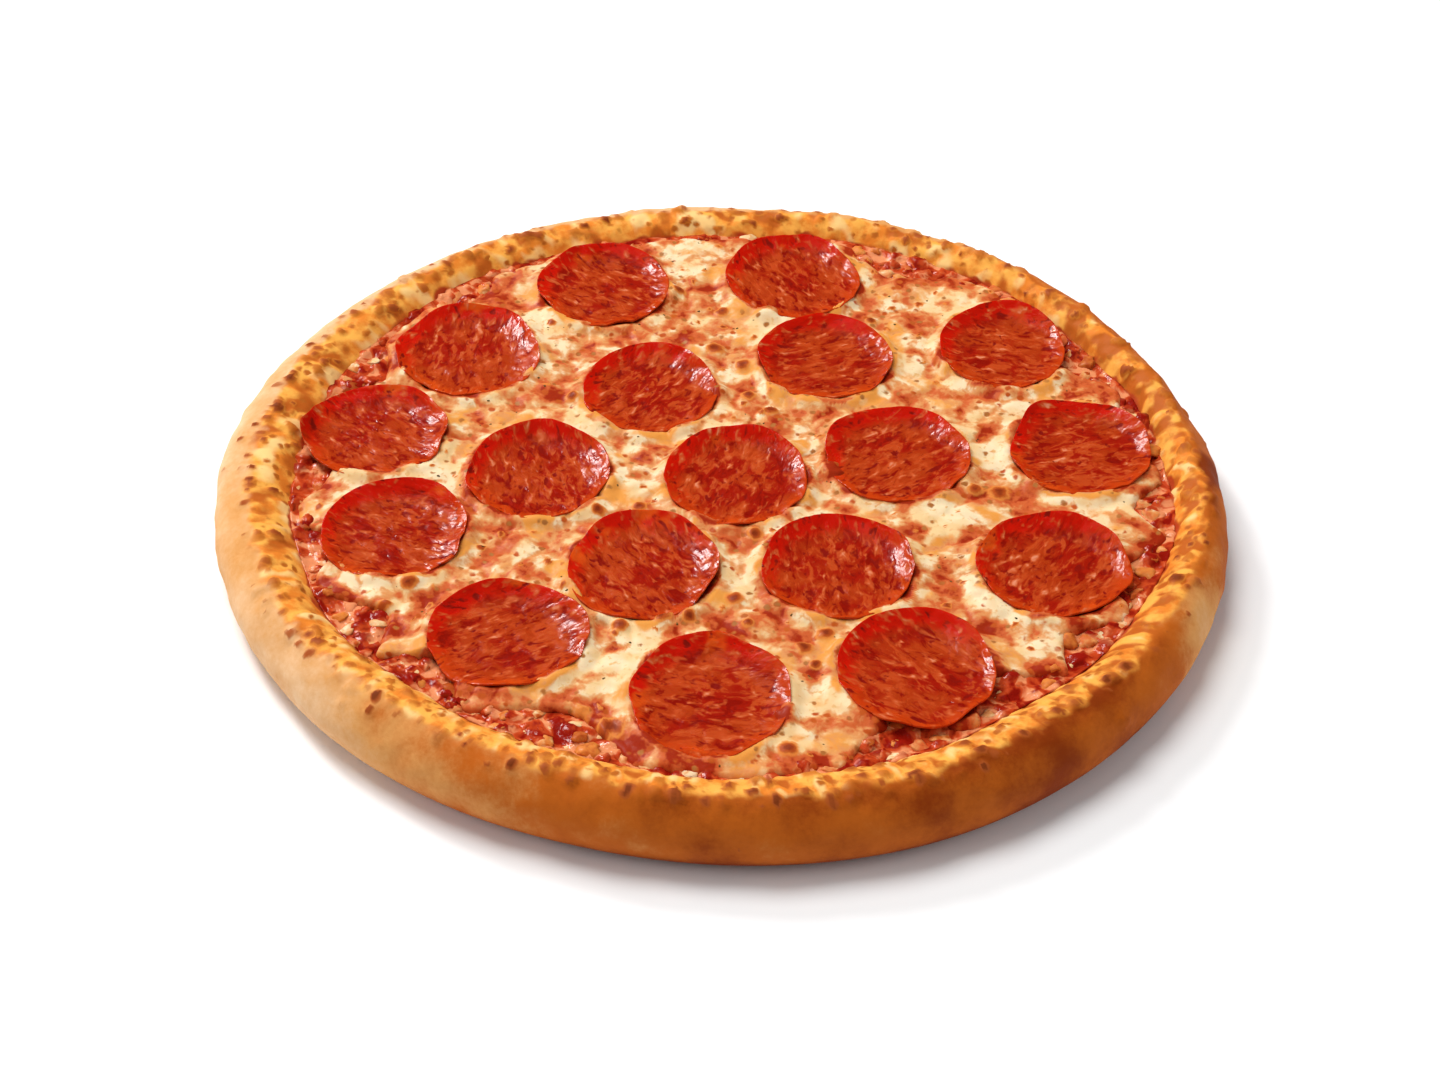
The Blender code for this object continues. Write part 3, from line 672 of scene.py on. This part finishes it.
def makeCrust():
    section = smoothLine(pizzaForm["rimSection"], crustLook["spacing"])
    inwards, height = section[:, :1], section[:, 1:]
    angle = np.linspace(0.0, math.tau, crustLook["steps"], endpoint=False)[None, :]
    radius = rimRadius(angle, inwards)
    x, y = radius * np.cos(angle), radius * np.sin(angle)
    height = np.broadcast_to(height, x.shape)
    inwards = np.broadcast_to(inwards, x.shape)
    risen = ease((height - 2.0) / 10.0)
    onRim = ease((pizzaForm["rimWidth"] - 4.0 - inwards) / 8.0)
    lump = grainNoise(x, y, 26.0, height / 22.0) + 0.6 * grainNoise(x, y, 11.0, height / 11.0)
    swell = (crustLook["swell"] * lump + 0.45 * grainNoise(x, y, 7.5, height / 7.5)) * risen * onRim
    # the baked skin: soft dimples, and wrinkles that run in towards the cheese
    skin = 0.22 * grainNoise(x, y, 5.0, height / 5.0) + 0.08 * grainNoise(x, y, 2.2, height / 2.2)
    inner = ease((inwards - 8.0) / 5.0) * ease((24.0 - inwards) / 4.0)
    around = np.broadcast_to(angle * 140.0, x.shape)
    wrinkle = grainNoise(around, inwards * 0.7, 4.2, 3.0)
    wrinkle = wrinkle + 0.5 * grainNoise(around, inwards * 0.6, 2.4, 8.0)
    strong = 0.5 + 0.5 * ease(0.8 * np.cos(angle + math.radians(62.0)) + 0.45)
    # a row of larger scorched spots runs along the crest
    charred = np.zeros_like(x)
    ragged = 0.5 * grainNoise(x, y, 2.4, height / 2.4)
    for spot in range(crustLook["crestSpots"]):
        jitter = noise.noise_vector(Vector((3.1 * spot + 0.5, 7.7, 0.3)))
        there = math.tau * (spot + 0.9 * jitter.x) / crustLook["crestSpots"]
        reach = max(crustLook["crestReach"] * (1.0 + 0.9 * jitter.z), 1.0)
        sideways = (np.remainder(angle - there + math.pi, math.tau) - math.pi) * pizzaForm["outerRadius"]
        nearSide = max(-math.sin(there), 0.0)
        inside = inwards - crustLook["crestPlace"] - 5.0 * jitter.y + 1.6 * nearSide
        depth = 0.66 + 0.4 * jitter.x + 0.2 * nearSide
        charred = np.maximum(charred, ease(1.35 - np.hypot(sideways, inside) / reach - ragged) * depth)
    push = swell + skin * risen + crustLook["wrinkle"] * wrinkle * inner + crustLook["crestRise"] * charred
    slopeIn = np.interp(inwards, [0, 6, 10, 20, 31], [1, 0.7, 0.1, -0.75, 0.0])
    x, y = x + push * slopeIn * np.cos(angle), y + push * slopeIn * np.sin(angle)
    z = lowered(angle, height) + push * np.interp(inwards, [0, 6, 10, 20, 31], [0.1, 0.7, 1.0, 0.6, 0.4])
    z = np.maximum(z, 0.0)
    z = np.where(height < 0.01, 0.0, z)
    # pale towards the back left, where the key lamp is, and darker towards the near right: partly real
    # browning, partly painted light and shade; darker in patches, golden under cheese
    turnedFromKey = ease(0.5 - 0.5 * np.cos(angle - math.radians(crustLook["paleLitSide"])))
    patches = grainNoise(x, y, 17.0, height / 17.0 + 5.0)
    crest = np.exp(-((inwards - 6.5) / 4.5) ** 2)
    blotch = ease((grainNoise(x, y, 11.0, height / 11.0 + 9.0) + 0.15) / 0.6) * ease(turnedFromKey * 1.6 - 0.3)
    patches = patches * ease((height - 2.0) / 6.0) * (0.4 + 0.6 * turnedFromKey)
    # painted shade: the foot of the wall is darkened on the side turned from the key lamp
    foot = ease((8.0 - height) / 7.0) * ease(turnedFromKey * 1.5 - 0.4)
    toastAndShade = 0.06 + 0.74 * turnedFromKey + 0.12 * crest + 0.26 * patches + 0.1 * blotch + 0.4 * foot
    for degrees, halfWidth, change in crustLook["browning"]:
        toastAndShade = toastAndShade + change * ease(1.0 - awayFrom(angle, degrees, halfWidth))
    # painted light: the top of the wall at the near right is made paler
    degrees, halfWidth, change = crustLook["upperPaintedLight"]
    topOfWall = ease((height - 10.0) / 8.0) * ease((9.0 - inwards) / 5.0)
    toastAndShade = toastAndShade + change * topOfWall * ease(1.4 - 1.4 * awayFrom(angle, degrees, halfWidth))
    scorch = crustLook["scorch"]
    turn = math.radians(scorch["angle"])
    fromScorch = np.hypot(x - scorch["radius"] * math.cos(turn), y - scorch["radius"] * math.sin(turn))
    toastAndShade = toastAndShade + scorch["change"] * np.exp(-(fromScorch / scorch["reach"]) ** 2)
    border = 2.6 * grainNoise(x, y, 8.0, 4.0) + 1.4 * grainNoise(x, y, 3.2, 4.0)
    cheesy = ease((inwards - 6.6 + border) / 6.0) * ease((27.0 - inwards) / 3.0)
    stain = ease((inwards - 19.2 + border) / 2.6) * (0.8 + 0.6 * grainNoise(x, y, 4.0, 6.0))
    # blisters rise thickly on the inner slope and rarely on the outer wall
    band = ease((inwards - 4.5) / 4.0) * ease((20.5 - inwards) / 5.0)
    band = np.clip(band * (0.8 + 0.8 * grainNoise(x, y, 15.0, 9.0)), 0.0, 1.0)
    band = (band + 0.03 * risen * (inwards < 8.0)) * ease((height - 8.0) / 4.0)
    # the film of cheese is painted lighter on the wrinkle tops and darker in their valleys, as painted
    # light and shade; browner at the right and patchy at the back
    ridgeShadeAndTone = wrinkle * strong - 0.28 * ease(1.8 * np.cos(angle) - 0.7)
    ridgeShadeAndTone = ridgeShadeAndTone + 1.3 * grainNoise(x, y, 9.0, 31.0) * ease(0.6 + 0.6 * np.sin(angle - math.radians(10.0)))
    mesh = ringMesh("bakedCrust", x, y, z, pizzaForm["baseThickness"], 0.0, {
        "toastAndShade": toastAndShade, "cheesy": cheesy, "ridgeShadeAndTone": ridgeShadeAndTone, "stain": stain, "band": band, "charred": charred,
    })
    crust = linkObject("bakedCrust", mesh)
    raiseBubbles(crust, crustLook["blisters"], doughMaterial)
    keepPiece(crust, ["crust"])
    print("crust made:", len(crust.data.polygons), "faces")


# sauce

sauceLook = {
    "steps": 720, "covered": 11.95, "ringTop": 13.2, "lumps": 1.1, "underside": 10.45,
    "pulp": {"spacing": 4.6, "density": 90000.0, "sizes": (2.2, 5.0), "rise": 1.7, "seed": 11},
}


def makeSauce():
    angle = np.linspace(0.0, math.tau, sauceLook["steps"], endpoint=False)
    edge, foot = cheeseRadius(angle), footRadius(angle)
    top = sauceLook["ringTop"]
    # radius and height of each ring, out from under the cheese and back in along the rim's slope
    stations = [
        (edge - 12.0, np.full_like(angle, sauceLook["covered"])),
        (edge - 4.0, np.full_like(angle, sauceLook["covered"])),
    ]
    for share in np.linspace(0.0, 1.0, 16):
        height = 12.3 + (top - 12.1) * ease(share * 2.5)
        stations.append((edge - 3.0 + share * (foot + 0.6 - edge), np.full_like(angle, height)))
    climb = 0.9 + 0.9 * grainNoise(np.cos(angle) * 130, np.sin(angle) * 130, 6.0, 3.0)
    for distance, height in ((-0.9, 13.8), (0.0, 14.2), (0.7, 14.3)):
        stations.append((foot + distance * climb, height + 0.6 * (climb - 0.9)))
    for distance, height in ((0.2, 13.3), (-1.75, 12.15), (-4.2, 10.8), (-6.6, sauceLook["underside"])):
        stations.append((foot + distance, np.full_like(angle, height)))
    radius = np.array([station[0] for station in stations])
    z = np.array([station[1] for station in stations])
    x, y = radius * np.cos(angle), radius * np.sin(angle)
    bare = np.zeros_like(x)
    bare[3:19] = 1.0
    z = z + bare * (sauceLook["lumps"] * 0.7 * grainNoise(x, y, 7.0) + 0.3 * grainNoise(x, y, 3.0, 4.0))
    mesh = ringMesh("tomatoSauce", x, y, z, sauceLook["covered"], sauceLook["underside"], {"band": bare})
    sauce = linkObject("tomatoSauce", mesh)
    raiseBubbles(sauce, sauceLook["pulp"], sauceMaterial)
    keepPiece(sauce, ["sauce"])
    print("sauce made:", len(sauce.data.polygons), "faces")
    return sauce


# cheese

cheeseLook = {
    "steps": 700, "rings": 122, "top": 15.0, "underside": 12.3, "flow": 0.6, "clump": 11.0,
    "clumpHeight": 0.9, "collar": 1.5, "creep": 2.2, "tucked": 13.6, "edgeWidth": 2.6,
    "bubbles": {"spacing": 7.0, "density": 40000.0, "sizes": (0.9, 2.2), "rise": 0.7, "seed": 21},
    "overlaps": (  # places where cheese has bubbled over a slice's edge: x, y, reach
        (-37.0, -66.0, 6.0), (-3.0, -27.0, 6.0), (32.5, 5.0, 6.5), (-79.0, -9.0, 5.0), (70.5, 60.0, 6.0),
        (-84.0, -66.0, 5.0), (14.0, 88.0, 5.0), (77.0, -30.0, 6.0), (-17.0, 98.0, 5.0),
        (-92.0, 38.0, 5.0), (33.0, -75.0, 5.0), (20.0, -104.0, 6.0),
    ),
    "browned": (  # blistered spots: x, y, radius
        (-3, 69, 2.6), (6, 60, 2.0), (8, 44, 2.0), (15, 36, 2.0), (24, -75, 2.2), (30, -69, 2.2),
        (27, -82, 1.6), (19, -117, 2.4), (-29, -67, 2.0), (-17, -63, 2.2), (-40, -103, 3.2),
        (-30, -108, 3.4), (84, -3, 2.8), (77, -3, 2.0), (-1, 90, 1.8), (-48, 42, 1.8), (-15, 100, 1.8),
        (48, 85, 1.6), (10, -25, 2.0), (4, -54, 2.2), (8, -65, 1.5), (-9, -63, 1.8), (-25, -12, 1.8),
        (-49, -15, 2.0), (-37, -15, 1.8), (-91, -50, 2.0), (-97, -59, 1.8), (81, -92, 2.2),
    ),
    "pools": (  # the palest, smoothest cheese: x, y, radius
        (-54, 80, 8), (-12, 125, 7), (76, 97, 9), (15, 81, 7), (114, -8, 9), (82, 15, 5), (67, -17, 6),
        (-110, -6, 9), (-89, -2, 7), (-42, 30, 6), (-25, 1, 6), (7, -44, 6), (-34, -86, 9), (-26, -73, 6),
        (28, -99, 9), (22, -113, 5), (93, -71, 7), (78, -56, 6), (-96, -52, 7), (-106, 51, 4),
        (-65, 4, 4), (32, -18, 5), (-1, 26, 4), (46, -54, 6), (-7, -12, 4), (58, 61, 5), (90, 38, 5),
        (-12, 112, 5),
    ),
}


def makeCheese():
    angle = np.linspace(0.0, math.tau, cheeseLook["steps"], endpoint=False)[None, :]
    ragged = 1.3 * grainNoise(np.cos(angle) * 120, np.sin(angle) * 120, 9.0, 1.0)
    ragged = ragged + 0.8 * grainNoise(np.cos(angle) * 120, np.sin(angle) * 120, 3.5, 2.0)
    edge = cheeseRadius(angle) + ragged
    bay = footRadius(angle) - pizzaForm["cheeseMargin"] - cheeseRadius(angle)
    edge = edge + cheeseLook["creep"] * ease(1.0 - bay / 2.5)
    share = np.linspace(0.008, 1.0, cheeseLook["rings"])[:, None]
    sheetRadius = edge - cheeseLook["edgeWidth"]
    radius = share * sheetRadius
    x, y = radius * np.cos(angle), radius * np.sin(angle)
    flow = cheeseLook["flow"] * (grainNoise(x, y, 19.0) + 0.5 * grainNoise(x, y, 8.0))
    bendX = x + 3.0 * grainNoise(x, y, 9.0, 3.0)
    bendY = y + 3.0 * grainNoise(x, y, 9.0, 5.0)
    first, second = clumpNoise(bendX, bendY, cheeseLook["clump"])
    crease = 1.0 - ease((second - first) / 0.28)
    clump = cheeseLook["clumpHeight"] * (ease(1.1 - first) - 0.5) - 0.35 * crease
    fine = 0.16 * grainNoise(x, y, 3.2, 7.0) + 0.06 * grainNoise(x, y, 1.8, 9.0)
    z = cheeseLook["top"] + flow + clump + fine
    # tucked under the slices, drawn up against their edges, and bubbled over them in places
    near = sliceShare(x, y)
    lift = cheeseLook["collar"] * (1.0 + 0.8 * grainNoise(x, y, 8.0, 19.0))
    z = z + lift * ease((near - 0.86) / 0.12) * ease((1.22 - near) / 0.2)
    tucked = cheeseLook["tucked"]
    z = tucked + (z - tucked) * ease((near - 0.80) / 0.14)
    over = np.zeros_like(x)
    for overX, overY, reach in cheeseLook["overlaps"]:
        away = np.hypot(x - overX, y - overY) / reach - 0.35 * grainNoise(x, y, 3.5, 1.0)
        over = np.maximum(over, ease(1.2 - away))
    z = z + over * np.maximum(17.8 - z, 0.0) * ease((1.15 - near) / 0.1)
    pool = np.zeros_like(x)
    for poolX, poolY, reach in cheeseLook["pools"]:
        away = np.hypot(x - poolX, y - poolY) / reach + 0.5 * grainNoise(x, y, 6.0, poolX)
        pool = np.maximum(pool, ease(1.75 - away))
    z = z + 0.5 * pool * (near > 0.9)
    browned = np.zeros_like(x)
    for spotX, spotY, reach in cheeseLook["browned"]:
        away = np.hypot(x - spotX, y - spotY) / reach + 0.35 * grainNoise(x, y, 2.2, spotX)
        browned = np.maximum(browned, np.clip(1.25 - 0.75 * away, 0.0, 1.0))
    z = z + 0.9 * ease(browned * 1.3)
    bared = ease((share - 0.82) / 0.18) * ease(0.6 + 1.4 * grainNoise(x, y, 12.0, 11.0))
    stain = 0.5 + 0.3 * crease + 0.4 * bared + 0.75 * grainNoise(x, y, 10.0, 13.0) - 0.5 * pool
    # beside a slice the cheese stays pale, but for a thin line of oil and smears of its colour
    stain = stain - 0.24 * ease((1.3 - near) / 0.15)
    smear = 0.98 + 0.16 * np.maximum(grainNoise(x, y, 12.0, 23.0) + 0.25, 0.0)
    stain = stain + 0.7 * ease((smear - near) / 0.05)
    golden = ease((grainNoise(x, y, 12.0, 15.0) - 0.02) / 0.3)
    stain = stain - 0.34 * golden
    oil = 0.4 * ease((1.12 - near) / 0.1) + 0.5 * golden - 0.1 - 0.25 * pool
    band = ease(0.45 + 1.5 * grainNoise(x, y, 15.0, 17.0)) * (near > 1.05)
    # the rounded outer edge and the hidden underside
    lastRing = z[-1:]
    for outwards, height in ((0.8, 0.97), (1.5, 0.86), (2.1, 0.68), (2.5, 0.42), (2.6, 0.18), (2.1, 0.0)):
        rimX, rimY = (sheetRadius + outwards) * np.cos(angle), (sheetRadius + outwards) * np.sin(angle)
        rimZ = cheeseLook["underside"] + (lastRing - cheeseLook["underside"]) * height
        x, y, z = np.vstack([x, rimX]), np.vstack([y, rimY]), np.vstack([z, rimZ])
        stain, oil = np.vstack([stain, stain[-1:]]), np.vstack([oil, oil[-1:]])
        band, browned = np.vstack([band, np.zeros_like(rimX)]), np.vstack([browned, browned[-1:]])
    mesh = ringMesh("meltedCheese", x, y, z, tucked, cheeseLook["underside"], {
        "stain": stain, "oil": oil, "band": band, "browned": browned, "sheet": 1.0,
    })
    cheese = linkObject("meltedCheese", mesh)
    raiseBubbles(cheese, cheeseLook["bubbles"], cheeseMaterial)
    keepPiece(cheese, ["cheese"])
    print("cheese made:", len(cheese.data.polygons), "faces")
    return cheese


# pepperoni

def makeSlice(number, centreX, centreY, width, length):
    piece = linkObject(f"pepperoniSlice{number:02d}", bpy.data.meshes.new("slice"))
    unit = pepperoniPlan["radius"]
    applyTree(piece, curedSlice, {
        **{key.capitalize(): pepperoniPlan[key] * mm for key in ("thickness", "curl", "grind", "relief")},
        "Radius": unit * mm, "Seed": 3.7 * number, "Material": sausageMaterial,
    })
    mesh = piece.data
    points = np.zeros(len(mesh.vertices) * 3, np.float32)
    mesh.vertices.foreach_get("co", points)
    points = points.reshape(-1, 3).astype(float) / mm
    across, along, height = points[:, 0] / unit, points[:, 1] / unit, points[:, 2]
    share = np.hypot(across, along)
    wave = np.abs([noise.noise(Vector((2.2 * a, 2.2 * b, 7.3 * number))) for a, b in zip(across, along)])
    facing = np.arctan2(along, across)
    circle = list(zip(np.cos(facing), np.sin(facing)))
    bulge = np.array([noise.noise(Vector((1.7 * a, 1.7 * b, 9.7 * number))) for a, b in circle])
    narrowing = 1.0 - 0.045 * wave * share + pepperoniPlan["uneven"] * bulge * share
    x = centreX + 0.5 * width * across * narrowing
    y = centreY + 0.5 * length * along * narrowing
    underside = pepperoniPlan["underside"]
    slope = rimHeight(np.arctan2(y, x), np.hypot(x, y)) - underside + pepperoniPlan["clearance"]
    bed = underside + 0.5 * (slope + np.sqrt(slope**2 + 1.5))
    # the edge stands highest at the back, where the slice has curled off the cheese
    ripple = np.array([noise.noise(Vector((1.3 * a, 1.3 * b, 5.1 * number))) for a, b in circle])
    outer = np.clip((share - 0.4) / 0.6, 0.0, 1.0)
    lifted = (pepperoniPlan["backCurl"] * np.sin(facing) + 1.6 * ripple) * outer**2
    z = bed + height + lifted + 0.9 * wave * share**2
    mesh.vertices.foreach_set("co", (np.stack([x, y, z], 1) * mm).ravel().astype(np.float32))
    # painted light and shade: the lip's colour is set by its direction round the slice
    lipLightShade = 0.6 * np.sin(facing - math.radians(pepperoniPlan["lipLightTurn"]))
    mesh.attributes.new("lipLightShade", "FLOAT", "POINT").data.foreach_set("value", lipLightShade.astype(np.float32))
    mesh.update()
    keepPiece(piece, [f"pepperoni_{number:02d}"])


# crumbs of cheese and clots of tomato over the bare sauce

crumbLook = {
    "cheese": {
        "density": 95000.0, "length": 7.2, "width": 5.6, "height": 3.6, "sink": 0.9, "fineness": 3,
        "seed": 41,
    },
    "tomato": {
        "density": 40000.0, "length": 5.4, "width": 4.2, "height": 3.2, "sink": 0.7, "fineness": 3,
        "seed": 43,
    },
}


def scatterBits(name, ground, look, material):
    # one piece of loose bits, laid where the ground piece's band is high
    bits = linkObject(name, ground.data.copy())
    applyTree(bits, scatteredBits, {
        "Density": look["density"], "Length": look["length"] * mm, "Width": look["width"] * mm,
        "Height": look["height"] * mm, "Sink": -look["sink"] * mm, "Fineness": look["fineness"],
        "Seed": look["seed"], "Material": material,
    })
    keepPiece(bits, [])
    print(name, "made:", len(bits.data.polygons), "faces")


# specks on the cheese

speckLook = {
    "density": 9000.0, "length": 1.2, "width": 0.8, "height": 0.45, "sink": 0.05, "fineness": 1, "seed": 31,
}


# studio

studio = {
    "camera": (-0.00001, -0.69077, 0.5696), "turn": (50.107, -0.493, 0.456), "lens": 72.61,
    "key": {"place": (-0.72, 0.82, 2.61), "size": 1.6, "power": 52.0},
    "spark": {"place": (-1.4, 1.8, 1.9), "size": 0.6, "power": 38.0},
    "fill": {"place": (-2.2, -0.6, 1.4), "size": 1.8, "power": 15.0},
    "right": {"place": (2.3, -0.35, 1.1), "size": 1.8, "power": 14.0},
    "sky": 0.23, "floor": 8.0,
}


def makeStudio():
    data = bpy.data.cameras.new("photoCamera")
    data.sensor_width = 36.0
    data.lens = studio["lens"]
    camera = bpy.data.objects.new("photoCamera", data)
    camera.location = studio["camera"]
    camera.rotation_euler = [math.radians(turn) for turn in studio["turn"]]
    bpy.context.scene.collection.objects.link(camera)
    bpy.context.scene.camera = camera
    for name in ("key", "spark", "fill", "right"):
        lamp = bpy.data.lights.new(name, "AREA")
        lamp.shape = "DISK"
        lamp.size = studio[name]["size"]
        lamp.energy = studio[name]["power"]
        holder = bpy.data.objects.new(name, lamp)
        holder.location = studio[name]["place"]
        holder.rotation_euler = (-Vector(studio[name]["place"])).to_track_quat("-Z", "Y").to_euler()
        holder.visible_glossy = name == "spark"  # only the small lamp is mirrored in the oil
        bpy.context.scene.collection.objects.link(holder)
    world = bpy.data.worlds.new("paleRoom")
    world.use_nodes = True
    world.node_tree.nodes["Background"].inputs[0].default_value = (1.0, 1.0, 1.0, 1.0)
    world.node_tree.nodes["Background"].inputs[1].default_value = studio["sky"]
    world.cycles_visibility.glossy = False  # nor is the pale room
    bpy.context.scene.world = world
    bpy.context.scene.view_settings.view_transform = "Standard"
    # the floor lies a hair below the pizza, so that their faces don't fight
    bpy.ops.mesh.primitive_plane_add(size=studio["floor"], location=(0.0, 0.0, -0.0002))
    floor = bpy.context.object
    floor.name = "paleFloor"
    material, tree, shader = newMaterial("paleFloor", 1.45, 0.9, 0.0)
    shader.inputs["Base Color"].default_value = hexToLinear("#FCFCFC")
    floor.data.materials.append(material)


makeCrust()
sauceRing = makeSauce()
scatterBits("cheeseCrumbs", sauceRing, crumbLook["cheese"], cheeseMaterial)
scatterBits("tomatoCrumbs", sauceRing, crumbLook["tomato"], sauceMaterial)
cheeseSheet = makeCheese()
for sliceNumber, slicePlace in enumerate(pepperoniPlan["places"], start=1):
    makeSlice(sliceNumber, *slicePlace)
print("slices made")
scatterBits("pepperSpecks", cheeseSheet, speckLook, herbMaterial)
makeStudio()
print("pieces:", ", ".join(piecesMade))
